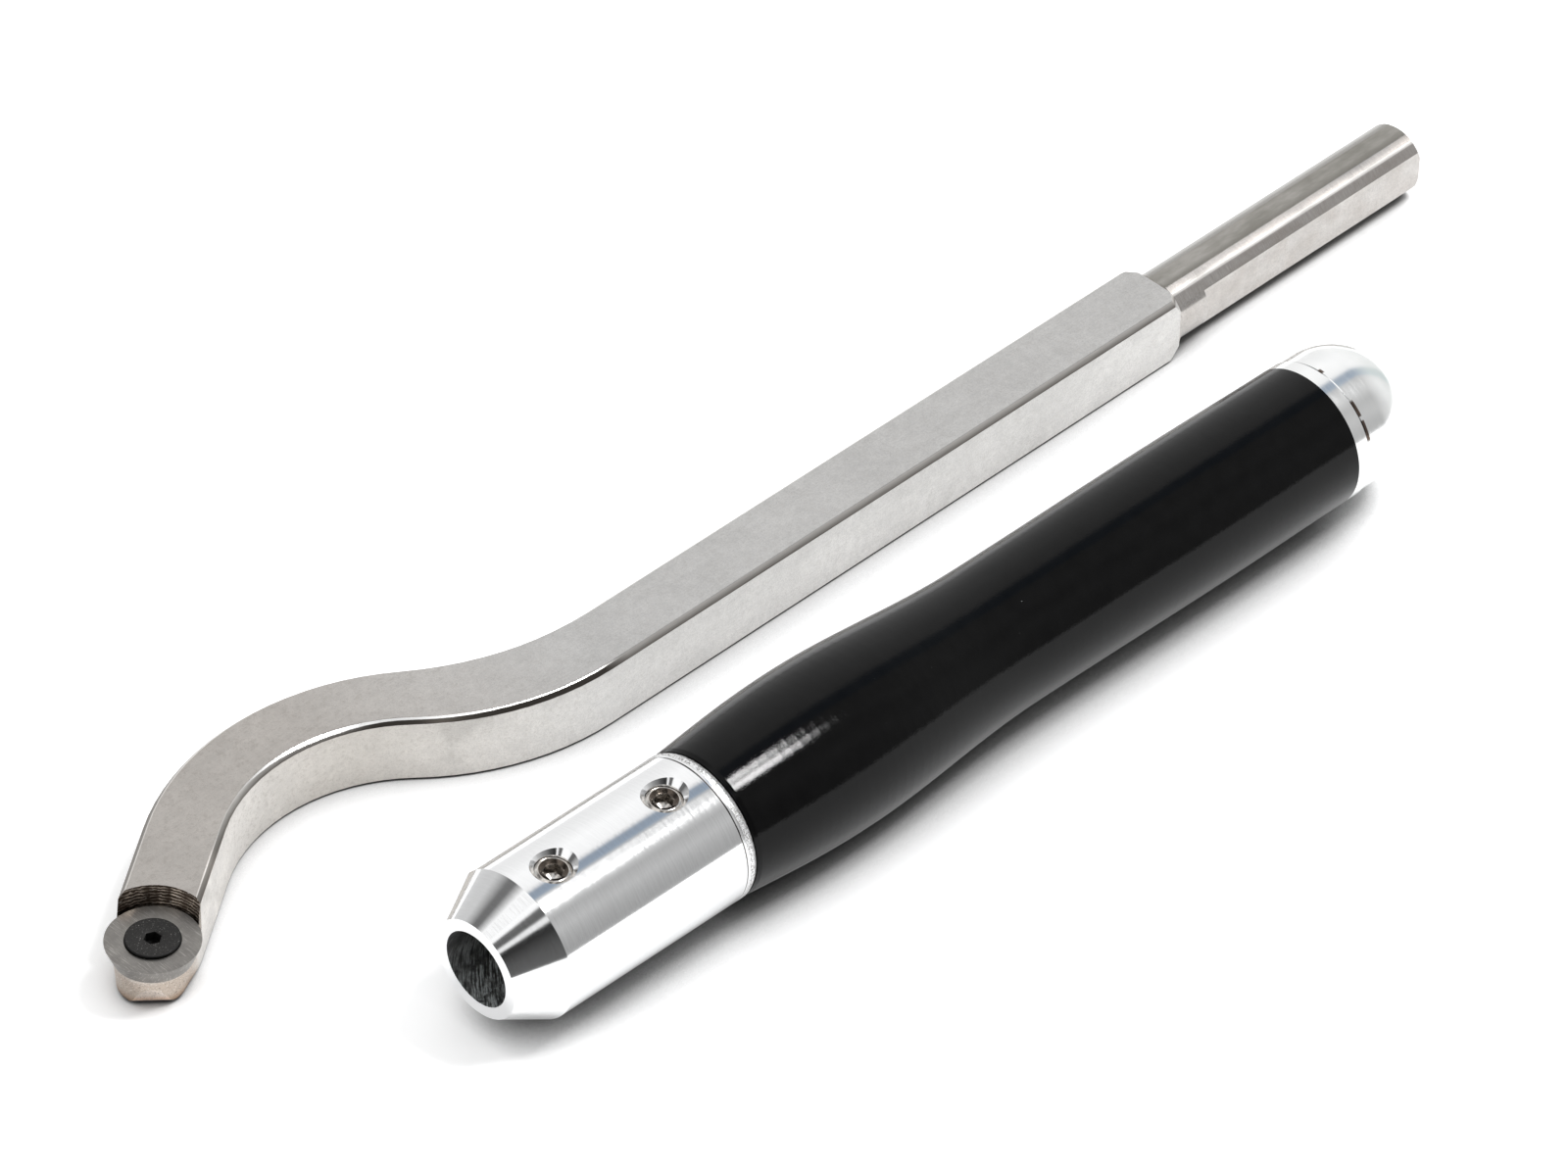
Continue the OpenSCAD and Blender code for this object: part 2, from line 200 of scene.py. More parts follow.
def bar_paint(t):
    p = place(t)
    x, y, z = axes(t, p)
    grain = noise(t, p, 3.2, 4, 0.65)
    fleck = noise(t, p, 9, 2, 0.7)
    patch = noise(t, p, 0.09, 3, 0.55)
    lines = noise(t, place(t, (60, 4200, 4200), turn=(0, 0, -BAR_TURN)), 1, 2, 0.5)
    blot = noise(t, p, 0.55, 4, 0.7)
    tone = (span(t, grain, 0.3, 0.7, 0.80, 1) * span(t, patch, 0.3, 0.7, 0.90, 1) * span(t, blot, 0.3, 0.7, 0.88, 1)
            * span(t, fleck, 0.30, 0.40, 0.62, 1) * span(t, lines, 0.3, 0.7, 0.95, 1))
    # the cutter's pocket, by the distance from the cutter's axis
    dx, dy = x - CUTTER.x, y - CUTTER.y
    dist = calc(t, "SQRT", dx * dx + dy * dy)
    around = calc(t, "ARCTAN2", dy, dx)
    in_pocket = span(t, dist, 9.06, 9.1, 1, 0) * inside(t, z, 6.5, 12.695) * span(t, dist, 6.9, 7.3)
    # the tang behind the shoulder
    behind = x - SHOULDER.x
    on_tang = span(t, behind, 0.02, 0.06)
    rings = noise(t, joined(t, x * 7, y * 0.4, z * 0.4), 1, 3, 0.65)
    stain = noise(t, place(t, (120, 350, 350)), 1, 3, 0.6)
    neck = span(t, x, -95, -50, 1, 0)
    spots = span(t, noise(t, p, 1.3, 3, 0.75), 0.53, 0.62) * span(t, neck, 0, 1, 0.12, 0.3)
    top = mixed(t, neck, (0.835, 0.825, 0.81), (0.80, 0.755, 0.71))
    # the side face is painted lighter toward the floor and lighter still next to the nose: a painted reflection of the
    # floor; in the neck both faces are darker and warmer
    side = mixed(t, neck, mixed(t, span(t, z, 0, 11), (0.93, 0.915, 0.895), (0.825, 0.815, 0.795)), (0.77, 0.73, 0.675))
    side = mixed(t, span(t, x, -112, -86, 1, 0), side, (1.0, 0.97, 0.93))
    tone = tone * span(t, neck * grain, 0.3, 0.7, 1, 0.88)
    steel = mixed(t, tone, 0.0, mixed(t, span(t, z, 11.7, 11.8), side, top))
    steel = mixed(t, spots, steel, (0.38, 0.345, 0.31))
    # the broken edges are painted dark (painted shade), the upper one lightening toward its top (painted reflection of
    # the sky) except in the bend, where it stays dark; along the bend a painted highlight covers the upper part of the
    # upper edge, whose normal is tilted there as well
    edge = inside(t, z, 11.82, 12.62) + span(t, z, 0.03, 0.06, 0, 1) * span(t, z, 0.4, 0.5, 1, 0)
    streak = noise(t, joined(t, x * 0.25, y * 0.25, z * 7), 1, 2, 0.6)
    bend = inside(t, x, -90, -44, 5)
    wear_and_edge_light = mixed(t, span(t, z + streak * 0.3, 11.95, 12.75), (0.20, 0.183, 0.165), (0.78, 0.75, 0.72))
    # painted shade: the lower part of the upper edge is darker next to the nose
    wear_and_edge_light = mixed(t, span(t, x, -122, -112, 0.8, 0) * span(t, z, 12.45, 12.55, 1, 0), wear_and_edge_light, (0.13, 0.118, 0.105))
    steel = mixed(t, edge, steel, mixed(t, bend, wear_and_edge_light, (0.09, 0.08, 0.07)))
    split = (span(t, x, -110, -94, 12.48, 12.15) + span(t, x, -90, -83, 0, 0.18) + span(t, x, -76, -66, 0, 0.10))
    # painted highlight: the upper part of the upper edge along the bend is painted near white
    highlight_band = span(t, z - split, 0, 0.06) * inside(t, x, -113, -44, 9) * inside(t, z, 11.82, 12.66)
    steel = mixed(t, highlight_band, steel, (1.0, 0.99, 0.97))
    # heat tint at the nose, painted darker on the faces that turn down (painted shade), with a painted contact shadow
    # along its bottom, dark specks and painted glints
    tip_x = (x + 139.9) * math.cos(NECK_BACK + BAR_TURN) + (y - 15.6) * math.sin(NECK_BACK + BAR_TURN)
    at_nose = span(t, tip_x, 0.0, 4.0, 1, 0)
    lower = span(t, axes(t, place(t, (1, 1, 1), kind="Normal"))[2], -0.25, -0.15, 1, 0)
    warm_shaded = mixed(t, lower, (0.62, 0.53, 0.45), (0.98, 0.875, 0.79))
    steel = mixed(t, span(t, z + grain * 1.6, 6.0, 8.0, 1, 0) * at_nose, steel, mixed(t, tone, (0.35, 0.30, 0.26), warm_shaded))
    tint_shaded = mixed(t, lower, (0.40, 0.27, 0.18), (0.75, 0.50, 0.34))
    steel = mixed(t, span(t, z + grain * 1.2, 1.7, 3.2, 0.85, 0) * at_nose, steel, tint_shaded)
    # painted contact shadow: near black along the bottom of the nose
    steel = mixed(t, span(t, z + blot * 0.6, 0.8, 1.7, 1, 0) * at_nose, steel, (0.04, 0.024, 0.016))
    steel = mixed(t, span(t, noise(t, p, 3.6, 3, 0.7), 0.55, 0.64, 0, 0.75) * span(t, z, 6, 8, 1, 0) * at_nose, steel, (0.17, 0.14, 0.12))
    # painted glints: bright specks on the front of the nose
    steel = mixed(t, span(t, noise(t, p, 4.4, 2, 0.6), 0.60, 0.68, 0, 0.7) * span(t, z, 2, 3, 0, 1) * span(t, z, 6, 8, 1, 0) * at_nose, steel, (1.0, 0.98, 0.95))
    turned = mixed(t, span(t, rings, 0.3, 0.7), (0.44, 0.415, 0.39), (0.62, 0.595, 0.575))
    turned = mixed(t, span(t, stain, 0.42, 0.66, 0, 0.55), turned, (0.42, 0.38, 0.35))
    up = z - SHOULDER.z
    aside = (SHOULDER.y - y) + behind * math.sin(BAR_TURN)
    roll = calc(t, "ARCTAN2", aside, up)
    # painted highlight: a bright band along the tang at a set angle round it
    turned = mixed(t, inside(t, roll, 0.53, 0.67, 0.04), turned, (0.95, 0.92, 0.89))
    # the flats are painted in their own greys: the top flat dark and darker toward the near side (painted shade), the
    # side flat lighter (painted light)
    flat = mixed(t, span(t, stain, 0.35, 0.65), (0.27, 0.26, 0.235), (0.40, 0.385, 0.36))
    flat = mixed(t, span(t, aside, 0.5, 1.7, 0, 0.8), flat, (0.21, 0.20, 0.18))
    turned = mixed(t, span(t, up, 5.90, 5.94), turned, flat)
    cloud = mixed(t, span(t, noise(t, p, 0.22, 4, 0.6), 0.35, 0.65), (0.62, 0.585, 0.555), (0.70, 0.675, 0.65))
    turned = mixed(t, span(t, aside, 5.05, 5.09), turned, mixed(t, tone, 0.0, cloud))
    # painted shade: darker on the far upper side of the tang
    turned = mixed(t, span(t, aside, -1.95, -1.85, 1, 0) * span(t, up, 3, 4), turned, (0.33, 0.32, 0.30))
    # the pocket wall: dark (painted shade), with painted highlights along the milling marks, strongest in columns, and
    # painted glints
    mill = noise(t, joined(t, dist * 3, z * 6.5, around * 3), 1, 4, 0.75)
    cut = calc(t, "SINE", z * 12.5 + noise(t, joined(t, around * 9, z, 0), 1, 3, 0.6) * 9)
    column = noise(t, joined(t, around * 5, z * 0.12, 0), 1, 2, 0.5)
    shine = span(t, cut, -0.3, 0.9) * span(t, mill, 0.36, 0.56) * span(t, column, 0.34, 0.62, 0.12, 1)
    brown = mixed(t, shine, (0.06, 0.042, 0.03), (1.0, 0.86, 0.72))
    glint = span(t, noise(t, joined(t, dist * 6, z * 6, around * 9), 1, 2, 0.6), 0.66, 0.72)
    brown = mixed(t, glint, brown, (1.0, 0.95, 0.9))
    colour = mixed(t, in_pocket, mixed(t, on_tang, steel, turned), brown)
    rough = mixed(t, on_tang, span(t, grain, 0.3, 0.7, 0.36, 0.44), span(t, stain, 0.3, 0.7, 0.18, 0.25))
    rough = mixed(t, in_pocket, rough, 0.34)
    tilted = bump(t, calc(t, "MAXIMUM", z - split, 0) * highlight_band, -0.46e-3)
    ridges = bump(t, mixed(t, in_pocket, 0.0, cut * 0.3 + mill), 22e-6, 0.8, tilted)
    ringed = bump(t, mixed(t, on_tang, 0.0, rings), 1.2e-6, 0.5, ridges)
    return {"Base Color": colour, "Metallic": 1.0, "Roughness": rough, "Anisotropic": 0.8,
            "Anisotropic Rotation": 0.25, "Tangent": joined(t, 0.0, SHOULDER.z - z, y - SHOULDER.y),
            "Normal": bump(t, grain, 7e-6, 0.8, ringed)}


def carbide_paint(t):
    p = place(t)
    lines = 0
    for turn, weight in ((0.5, 1), (2.1, 0.7), (1.2, 0.8), (2.7, 0.5)):
        q = place(t, (1000 * 6, 1000 * 0.3, 1000), turn=(0, 0, turn))
        lines = lines + span(t, noise(t, q, 1, 2, 0.6), 0.62, 0.74, 0, weight)
    cloud = noise(t, p, 0.45, 3, 0.55)
    speck = noise(t, p, 7, 3, 0.65)
    base = mixed(t, span(t, cloud, 0.3, 0.7), (0.19, 0.18, 0.17), (0.27, 0.258, 0.24))
    base = mixed(t, span(t, speck, 0.35, 0.65, 0, 0.35), base, (0.30, 0.285, 0.27))
    colour = mixed(t, span(t, lines, 0, 1, 0, 0.75), base, (0.50, 0.48, 0.45))
    return {"Base Color": colour, "Metallic": 1.0, "Roughness": span(t, lines, 0, 1, 0.40, 0.30),
            "Normal": bump(t, lines, 2e-6, 0.6, bump(t, speck, 3e-6, 0.5))}


def black_steel_paint(t):
    p = place(t)
    n = noise(t, p, 5, 4, 0.65)
    wear_and_edge_light = span(t, noise(t, p, 1.1, 4, 0.7), 0.60, 0.75)
    base = mixed(t, span(t, n, 0.3, 0.7), (0.010, 0.0095, 0.009), (0.026, 0.0245, 0.023))
    x, y, z = axes(t, p)
    dx, dy = x - CUTTER.x, y - CUTTER.y
    dist = calc(t, "SQRT", dx * dx + dy * dy)
    # painted shade: the hex socket and the gap round the head's rim are painted near black
    socket = span(t, dist, 1.46, 1.5, 1, 0) * span(t, z, CUTTER.z + 3.30, CUTTER.z + 3.38, 1, 0)
    rim = inside(t, dist, 4.22, 4.5, 0.03)
    base = mixed(t, wear_and_edge_light * 0.3, base, (0.10, 0.095, 0.09))
    # painted glints: small bright specks on the head
    base = mixed(t, span(t, noise(t, p, 5.5, 2, 0.6), 0.66, 0.70), base, (0.35, 0.34, 0.33))
    return {"Base Color": mixed(t, calc(t, "MAXIMUM", socket, rim), base, (0.003, 0.003, 0.003)), "Metallic": 0.5,
            "Roughness": mixed(t, socket, span(t, n, 0.3, 0.7, 0.42, 0.56), 0.9), "Normal": bump(t, n, 8e-6, 0.6)}


def handle_axes(t):
    x, y, z = axes(t, place(t))
    y, z = y - AXIS_Y, z - AXIS_Z
    return x, calc(t, "ARCTAN2", y, z), calc(t, "SQRT", y * y + z * z)


def across_rings(t):
    """Tangent round the handle's axis; with a quarter turn the grooves scatter light along it."""
    n = t.nodes.new("ShaderNodeTangent")
    n.direction_type = "RADIAL"
    n.axis = "X"
    return Sock(t, n.outputs[0])


def turned_paint(t):
    x, around, r = handle_axes(t)
    rings = noise(t, joined(t, x * 4.6, around * 2.6, r * 4.6), 1, 4, 0.7)
    fine = noise(t, joined(t, x * 16, around * 6, r * 16), 1, 2, 0.6)
    bore = span(t, r, 6.63, 6.66, 1, 0)
    swirl = noise(t, joined(t, (x * 0.6 + around * 3) * 4.5, (x * 0.6 - around * 3) * 0.3, 0), 1, 4, 0.75)
    patch = noise(t, joined(t, x * 0.35, around * 2.4, 0), 1, 3, 0.6)
    skin = mixed(t, span(t, rings, 0.35, 0.65), (0.92, 0.925, 0.93), (0.97, 0.975, 0.98))
    # the bore painted dark (painted shade), with painted glints in the drilling swirl, more toward its bottom
    low = span(t, calc(t, "ABSOLUTE", around), 1.6, 2.6, 0.15, 1)
    bore_shade_and_glints = mixed(t, span(t, swirl, 0.44, 0.56) * span(t, patch, 0.34, 0.52) * low, (0.16, 0.16, 0.16), (0.96, 1.0, 1.0))
    # turning marks painted darker only in the bands round the axis where the reflected sky changes: a painted
    # reflection
    reflection_marks = inside(t, around * -1, 0.17, 0.38, 0.03) + inside(t, around * -1, 0.55, 1.15, 0.1) * 0.7
    skin = mixed(t, reflection_marks * span(t, rings, 0.38, 0.62, 0, 0.30) * span(t, bore, 0, 1, 1, 0), skin, (0.45, 0.45, 0.45))
    rough = span(t, rings, 0.3, 0.7, 0.08, 0.13)
    height = mixed(t, bore, rings * 0.05 + fine * 0.02, swirl * 1.6)
    return {"Base Color": mixed(t, bore, skin, bore_shade_and_glints), "Metallic": 1.0,
            "Roughness": mixed(t, bore, rough, span(t, swirl, 0.44, 0.56, 0.45, 0.62)),
            "Anisotropic": 0.3, "Anisotropic Rotation": 0.25, "Tangent": across_rings(t),
            "Normal": bump(t, height, 25e-6, 0.5)}


def polished_paint(t):
    x, around, r = handle_axes(t)
    rings = noise(t, joined(t, x * 4, around * 3, r * 4), 1, 3, 0.6)
    # the slit between ring and cap is painted dark (painted shade) only at the angles where it turns from the window
    side = inside(t, around * -1, 0.58, 1.22, 0.04) * span(t, calc(t, "ABSOLUTE", around + 0.87), 0.02, 0.04)
    side = calc(t, "MAXIMUM", side, span(t, calc(t, "ABSOLUTE", around + 0.01), 0.05, 0.03))
    slit = inside(t, x, 74.9, 75.75, 0.08) * side
    soft = noise(t, place(t), 0.25, 2, 0.5)
    skin = mixed(t, span(t, soft, 0.3, 0.7), (0.93, 0.94, 0.94), (0.98, 0.985, 0.98))
    # the dome is painted a darker, cooler grey: painted shade
    skin = mixed(t, span(t, x, 80.5, 84.5), skin, mixed(t, span(t, soft, 0.3, 0.7), (0.82, 0.84, 0.83), (0.87, 0.885, 0.875)))
    return {"Base Color": mixed(t, slit * span(t, r, 11.5, 11.8), skin, mixed(t, rings, (0.03, 0.022, 0.018), (0.22, 0.17, 0.14))), "Metallic": 1.0,
            "Roughness": span(t, rings, 0.3, 0.7, 0.13, 0.19), "Anisotropic": 0.3, "Anisotropic Rotation": 0.25,
            "Tangent": across_rings(t), "Normal": bump(t, rings, 0.8e-6, 0.5)}


def ring_paint(t):
    p = place(t)
    x, around, r = handle_axes(t)
    pits = noise(t, p, 3.0, 4, 0.75)
    line = inside(t, x, -67.34, -67.20, 0.03)
    rough_band = span(t, x, -66.9, -66.6)
    skin = mixed(t, span(t, pits, 0.40, 0.52), (0.22, 0.21, 0.205), (0.95, 0.95, 0.95))
    skin = mixed(t, rough_band, (0.90, 0.905, 0.91), skin)
    return {"Base Color": mixed(t, line, skin, (0.12, 0.11, 0.105)), "Metallic": 1.0,
            "Roughness": mixed(t, rough_band, 0.2, span(t, pits, 0.35, 0.65, 0.5, 0.24)),
            "Normal": bump(t, mixed(t, rough_band, 0.0, pits), 120e-6, 0.8)}


def screw_paint(t):
    x, y, z = axes(t, place(t))
    n = noise(t, place(t), 4, 3, 0.6)
    # distance from the nearer screw's own axis
    dx = calc(t, "MINIMUM", calc(t, "ABSOLUTE", x - SCREWS[0].x), calc(t, "ABSOLUTE", x - SCREWS[1].x))
    dy, dz = y - SCREWS[0].y, z - SCREWS[0].z
    across = dy * math.cos(LEAN) + dz * math.sin(LEAN)
    dist = calc(t, "SQRT", dx * dx + across * across)
    depth = dy * math.sin(LEAN) - dz * math.cos(LEAN)
    dark = mixed(t, span(t, n, 0.3, 0.7), (0.060, 0.048, 0.038), (0.15, 0.125, 0.105))
    bright = mixed(t, span(t, n, 0.3, 0.7), (0.55, 0.51, 0.47), (0.85, 0.82, 0.78))
    # the top face and the socket walls are painted dark, the rest bright: painted shade and reflection on one steel
    face = inside(t, dist, 1.40, 2.36, 0.03) * span(t, depth, 0.4, 0.5, 1, 0)
    wall = span(t, dist, 1.15, 1.25) * inside(t, depth, 0.4, 2.3) * span(t, n, 0.3, 0.7, 0.9, 0.3)
    return {"Base Color": mixed(t, calc(t, "MAXIMUM", face, wall), bright, dark),
            "Metallic": 1.0, "Roughness": span(t, n, 0.3, 0.7, 0.12, 0.22), "Normal": bump(t, n, 4e-6, 0.4)}


def lacquer_paint(t):
    p = place(t)
    wave = noise(t, p, 0.35, 2, 0.5)
    peel = noise(t, p, 2.6, 4, 0.65)
    dust = span(t, noise(t, p, 1.9, 1, 0.5), 0.845, 0.865)
    black = mixed(t, span(t, wave, 0.3, 0.7), (0.0010, 0.0010, 0.0011), (0.0024, 0.0024, 0.0025))
    return {"Base Color": mixed(t, dust, black, (0.25, 0.26, 0.26)), "Metallic": 0.0,
            "Roughness": span(t, peel, 0.3, 0.7, 0.01, 0.035), "IOR": 1.262,
            "Normal": bump(t, peel, 13e-6, 1.0, bump(t, wave, 10e-6, 1.0))}


bar_steel = material("bar_steel_satin", bar_paint)
carbide = material("carbide_lapped", carbide_paint)
black_steel = material("black_oxide", black_steel_paint)
aluminium = material("aluminium_turned", turned_paint)
polished = material("aluminium_polished", polished_paint)
pitted = material("aluminium_pitted", ring_paint)
screw_steel = material("screw_steel_bright", screw_paint)
lacquer = material("lacquer_black", lacquer_paint)
for node, finish in (("shank_bar", bar_steel), ("carbide_cutter", carbide), ("ferrule", aluminium),
                     ("spacer_ring", pitted), ("rear_ferrule", polished), ("grip", lacquer)):
    clad(node, finish)


# Turned pieces with real threads, built ring by ring
SEGMENTS = 96


def lathe(name, rings, place_at, finish):
    """rings: (height, radius) along the piece's own Z, in mm; a radius may be a function of the
    angle and the height. place_at puts the piece into the part frame, in mm."""
    mesh = bpy.data.meshes.new(name)
    b = bmesh.new()
    rows = []
    for height, radius in rings:
        if radius == 0:
            rows.append([b.verts.new(place_at @ Vector((0, 0, height)) * MM)])
            continue
        row = []
        for i in range(SEGMENTS):
            a = 2 * math.pi * i / SEGMENTS
            r = radius(a, height) if callable(radius) else radius
            row.append(b.verts.new(place_at @ Vector((r * math.cos(a), r * math.sin(a), height)) * MM))
        rows.append(row)
    for one, two in zip(rows, rows[1:]):
        for i in range(SEGMENTS):
            j = (i + 1) % SEGMENTS
            corners = [one[i % len(one)], one[j % len(one)], two[j % len(two)], two[i % len(two)]]
            b.faces.new(list(dict.fromkeys(corners)))
    bmesh.ops.recalc_face_normals(b, faces=b.faces)
    b.to_mesh(mesh)
    b.free()
    mesh.shade_smooth()
    mesh.set_sharp_from_angle(angle=math.radians(32))
    mesh.materials.append(finish)
    o = bpy.data.objects.new(name, mesh)
    scene.collection.objects.link(o)
    return o


def thread(low, high, major, minor, pitch):
    """Rings of a right-hand thread between two heights, running out at both ends."""
    def radius(a, z):
        phase = (z / pitch - a / (2 * math.pi)) % 1
        flank = min(1, max(0, (abs(phase - 0.5) * 2 - 0.12) / 0.72))
        out = min(1, (z - low) / (0.6 * pitch), (high - z) / (0.6 * pitch))
        return minor + (major - minor) * (1 - (1 - flank) * max(0, out))
    count = round((high - low) / pitch * 12)
    return [(low + (high - low) * i / count, radius) for i in range(count + 1)]


def hexagon(across):
    """Radius of a hexagon at an angle, for a ring of the lathe."""
    def radius(a, z):
        return across / 2 / math.cos((a + math.pi / 6) % (math.pi / 3) - math.pi / 6)
    return radius


def set_screw(name, top):
    out = Vector((0, -math.sin(LEAN), math.cos(LEAN)))
    at = Matrix.Translation(top) @ out.to_track_quat("Z", "Y").to_matrix().to_4x4()
    rings = [(-4.4, 0), (-4.95, 1.2), (-5, 1.35), (-5, 2.35)]
    rings += thread(-4.85, -0.5, 3.0, 2.5, 1.0)
    rings += [(-0.42, 2.98), (-0.06, 2.52), (0, 2.42), (0, 2.26), (-0.05, 2.18), (-0.33, 1.78),
              (-0.42, hexagon(3)), (-2.35, hexagon(3)), (-2.4, 1.42), (-2.85, 0.35), (-2.9, 0)]
    piece = lathe(name, rings, at, screw_steel)
    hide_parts(name.replace("_dressed", ""))
    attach(piece, name.replace("_dressed", ""))


set_screw("front_set_screw_dressed", SCREWS[0])
set_screw("rear_set_screw_dressed", SCREWS[1])


def cutter_screw():
    at = Matrix.Translation(CUTTER) @ Matrix.Rotation(BAR_TURN + math.pi + NECK_BACK + math.radians(30), 4, "Z")
    rings = [(-5.5, 0), (-5.5, 1.5)] + thread(-5.4, -0.3, 1.95, 1.58, 0.7)
    rings += [(0.55, 1.95), (2.96, 4.36), (3.04, 4.4), (3.36, 4.4), (3.45, 4.37), (3.5, 4.27), (3.5, 4.05),
              (3.49, 1.62), (3.46, 1.53), (3.38, hexagon(2.5)), (1.75, hexagon(2.5)), (1.7, 1.2), (1.3, 0.3), (1.25, 0)]
    piece = lathe("cutter_screw_dressed", rings, at, black_steel)
    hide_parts("cutter_screw")
    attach(piece, "cutter_screw")


cutter_screw()


def end_cap():
    at = Matrix.Translation((0, AXIS_Y, AXIS_Z)) @ Matrix.Rotation(math.pi / 2, 4, "Y")
    cap_x, cap_end, r, dome = 75.133, 91.633, 12.4, 12.4
    rings = [(cap_x - 13, 0), (cap_x - 13, 4.1)] + thread(cap_x - 12.9, cap_x - 0.9, 5.0, 4.15, 1.5)
    rings += [(cap_x - 0.5, 4.2), (cap_x - 0.02, 4.2), (cap_x, 4.3), (cap_x, r - 0.12), (cap_x + 0.12, r), (cap_x + 0.2, r),
              (cap_x + 1.5, r), (cap_x + 2.8, r)]
    steps = 60
    rings += [(cap_end - dome + dome * math.sin(math.pi / 2 * i / steps), r * math.cos(math.pi / 2 * i / steps))
              for i in range(steps)] + [(cap_end, 0)]
    piece = lathe("end_cap_dressed", rings, at, polished)
    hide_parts("end_cap")
    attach(piece, "end_cap")


end_cap()


# Floor, a sheet of white paper
def floor_mesh():
    m = bpy.data.meshes.new("floor")
    b = bmesh.new()
    x0, x1, y0, y1 = -1.2, 1.6, -1.0, 1.6
    n = 12
    grid = [[b.verts.new((x0 + (x1 - x0) * i / n, y0 + (y1 - y0) * j / n, 0)) for j in range(n + 1)]
            for i in range(n + 1)]
    for i in range(n):
        for j in range(n):
            b.faces.new((grid[i][j], grid[i + 1][j], grid[i + 1][j + 1], grid[i][j + 1]))
    b.to_mesh(m)
    b.free()
    return m


FLOOR_GLOW = 0.52
floor = bpy.data.objects.new("floor", floor_mesh())
scene.collection.objects.link(floor)
floor.location.z = -0.00002
paper = bpy.data.materials.new("paper_white")
paper.use_nodes = True
pt = paper.node_tree
pt.nodes.clear()
out = pt.nodes.new("ShaderNodeOutputMaterial")
path = pt.nodes.new("ShaderNodeLightPath")
diffuse = pt.nodes.new("ShaderNodeBsdfDiffuse")
fibre = noise(pt, place(pt), 0.6, 3, 0.5)
# the glow stands for overexposed paper; the paper's colour and its glow are both darkened by ambient occlusion, a
# painted shadow in the gaps under and beside the pieces
gap = pt.nodes.new("ShaderNodeAmbientOcclusion")
gap.inputs["Distance"].default_value = 0.045
gap.samples = 12
sky = Sock(pt, gap.outputs["AO"])
under = pt.nodes.new("ShaderNodeAmbientOcclusion")
under.inputs["Distance"].default_value = 0.012
under.samples = 12
close = span(pt, Sock(pt, under.outputs["AO"]), 0.1, 0.5, 0.4, 1)
white = mixed(pt, fibre, (0.90, 0.90, 0.90), (0.93, 0.93, 0.93))
put(pt, diffuse.inputs["Color"], mixed(pt, span(pt, sky, 0.1, 0.65, 0.12, 1) * close, 0.0, white))
glow = pt.nodes.new("ShaderNodeEmission")
shown = Sock(pt, path.outputs["Is Camera Ray"]) * span(pt, sky, 0.25, 0.86, 0, FLOOR_GLOW) * close
mirrored = Sock(pt, path.outputs["Is Glossy Ray"]) * (FLOOR_GLOW * 0.5)
put(pt, glow.inputs["Strength"], shown + mirrored)
add = pt.nodes.new("ShaderNodeAddShader")
pt.links.new(diffuse.outputs[0], add.inputs[0])
pt.links.new(glow.outputs[0], add.inputs[1])
pt.links.new(add.outputs[0], out.inputs["Surface"])
floor.data.materials.append(paper)


# World: a room that is pale on the far side and to the right, with a bright window band overhead,
# and dim where the camera stands
def room_ramp(t, y, stops):
    """stops: (y component of the direction, grey or colour)."""
    return ramp(t, y * 0.5 + 0.5, [(0.5 * at + 0.5, tone) for at, tone in stops])


world = bpy.data.worlds.new("room")
scene.world = world
world.use_nodes = True
wt = world.node_tree
wt.nodes.clear()
out = wt.nodes.new("ShaderNodeOutputWorld")
back = wt.nodes.new("ShaderNodeBackground")
wx, wy, wz = axes(wt, place(wt, (1, 1, 1), kind="Generated"))
left = room_ramp(wt, wy, [(-0.92, 0.11), (-0.85, 0.09), (-0.74, 0.055), (-0.64, 0.025), (-0.56, 0.03), (-0.52, 0.85),
                          (-0.45, 0.85), (-0.40, 0.10), (-0.24, 0.12), (-0.18, 0.97), (0.24, 0.99), (0.34, 0.62),
                          (0.50, 0.15), (0.64, 0.11), (0.76, 0.30), (0.88, 0.50), (0.98, 0.44)])
middle = room_ramp(wt, wy, [(-0.90, 0.32), (-0.70, 0.50), (-0.52, 0.42), (-0.36, 0.50), (-0.06, 0.42),
                            (0.0, (0.25, 0.31, 0.39)), (0.14, (0.28, 0.33, 0.40)), (0.22, 0.84),
                            (0.32, 0.90), (0.60, 0.94), (0.85, 0.80)])
right = room_ramp(wt, wy, [(-0.60, 0.75), (-0.22, 0.88), (-0.06, 0.80), (0.0, (0.62, 0.68, 0.69)), (0.13, (0.64, 0.69, 0.69)),
                           (0.20, 0.90), (0.60, 0.92)])
room = mixed(wt, span(wt, wx, -0.30, 0.38), left, middle)
room = mixed(wt, span(wt, wx, 0.62, 0.90), room, right)
put(wt, back.inputs["Color"], room)
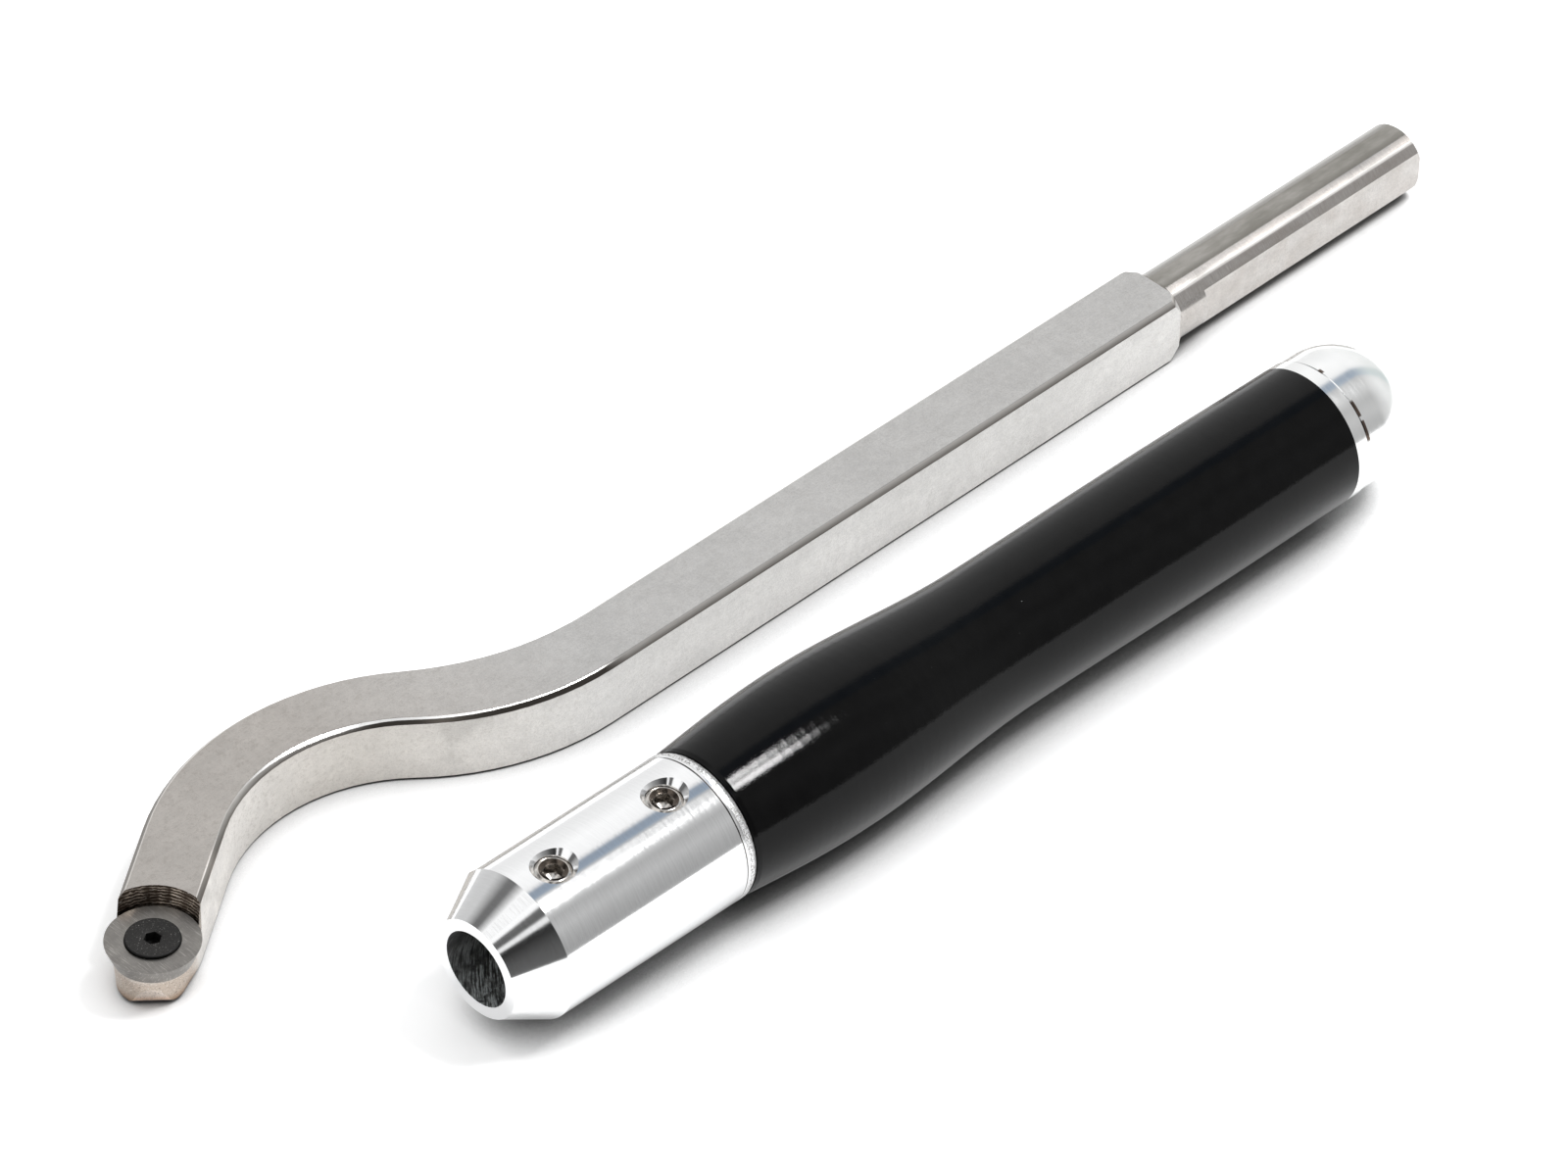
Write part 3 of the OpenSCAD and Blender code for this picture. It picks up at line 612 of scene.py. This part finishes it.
back.inputs["Strength"].default_value = 1.08
# where the camera looks past the floor it sees white
seen = wt.nodes.new("ShaderNodeLightPath")
plain = wt.nodes.new("ShaderNodeBackground")
plain.inputs["Color"].default_value = (1, 1, 1, 1)
choice = wt.nodes.new("ShaderNodeMixShader")
wt.links.new(seen.outputs["Is Camera Ray"], choice.inputs[0])
wt.links.new(back.outputs[0], choice.inputs[1])
wt.links.new(plain.outputs[0], choice.inputs[2])
wt.links.new(choice.outputs[0], out.inputs["Surface"])


# Lamp overhead: two strips side by side, each with a dimmer end
def strip(name, low, high, radiance):
    """A horizontal area lamp between two corners, shining down."""
    light = bpy.data.lights.new(name, "AREA")
    light.shape = "RECTANGLE"
    light.size, light.size_y = high[0] - low[0], high[1] - low[1]
    light.energy = radiance * math.pi * light.size * light.size_y
    o = bpy.data.objects.new(name, light)
    scene.collection.objects.link(o)
    o.location = ((low[0] + high[0]) / 2, (low[1] + high[1]) / 2, LAMP_Z)


LAMP_Z = 1.4
LAMP_RADIANCE = 64
strip("lamp_near", (0.38, -0.66), (0.60, -0.43), LAMP_RADIANCE)
strip("lamp_far", (0.38, -0.385), (0.51, -0.19), LAMP_RADIANCE)
strip("lamp_near_edge", (0.60, -0.64), (0.68, -0.45), LAMP_RADIANCE * 0.15)
strip("lamp_far_edge", (0.51, -0.365), (0.57, -0.21), LAMP_RADIANCE * 0.15)


# Camera at the photograph's viewing angle
def make_camera():
    data = bpy.data.cameras.new("camera")
    data.sensor_fit = "HORIZONTAL"
    data.sensor_width = 36
    data.lens = 182.08
    data.clip_start, data.clip_end = 0.01, 20
    right = Vector((0.71611, -0.6978, 0.0158))
    up = Vector((0.44818, 0.47706, 0.75601))
    back = -Vector((0.53509, 0.53431, -0.65437))
    o = bpy.data.objects.new("camera", data)
    scene.collection.objects.link(o)
    o.matrix_world = Matrix.Translation((-0.69797, -0.67674, 0.8488)) @ Matrix((right, up, back)).transposed().to_4x4()
    scene.camera = o


make_camera()
scene.view_settings.view_transform = "Standard"
